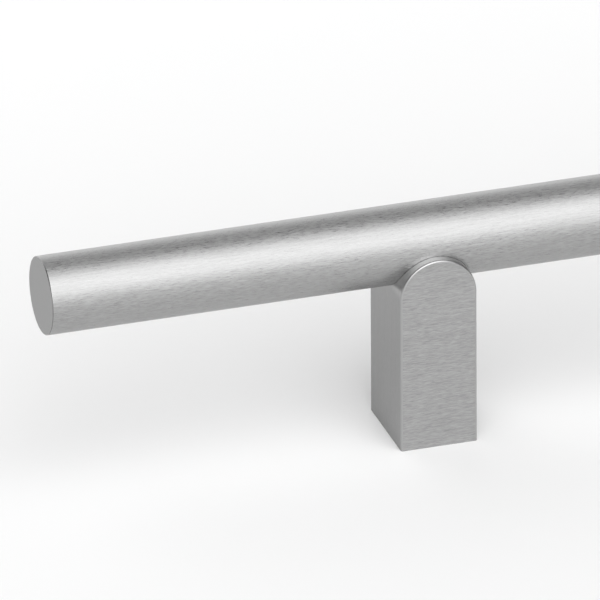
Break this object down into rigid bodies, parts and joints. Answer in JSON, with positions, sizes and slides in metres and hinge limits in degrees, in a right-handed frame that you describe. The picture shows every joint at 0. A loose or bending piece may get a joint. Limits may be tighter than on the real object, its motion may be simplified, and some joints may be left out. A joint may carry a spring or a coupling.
{
  "type": "furniture pull handle",
  "caption": "Straight pull handle for furniture: a solid round brushed-metal bar lying in the seats of arched posts, threaded in their feet for furniture screws.",
  "frame": {"origin": "midway between the two posts, on the plane of the furniture front that the feet rest against", "axes": "+X along the bar, +Z away from the furniture front, +Y across the bar"},
  "size_m": [0.312, 0.015, 0.037],
  "materials": {
    "bar": "satin, brushed along the bar",
    "post": "satin, brushed across the front face, up the side faces and round the arch",
    "set_screw": "plain machined"
  },
  "bodies": {
    "root": {"bar": "bar", "post_left": "post", "post_right": "post", "stud_left": "set_screw", "stud_right": "set_screw"}
  },
  "joints": []
}
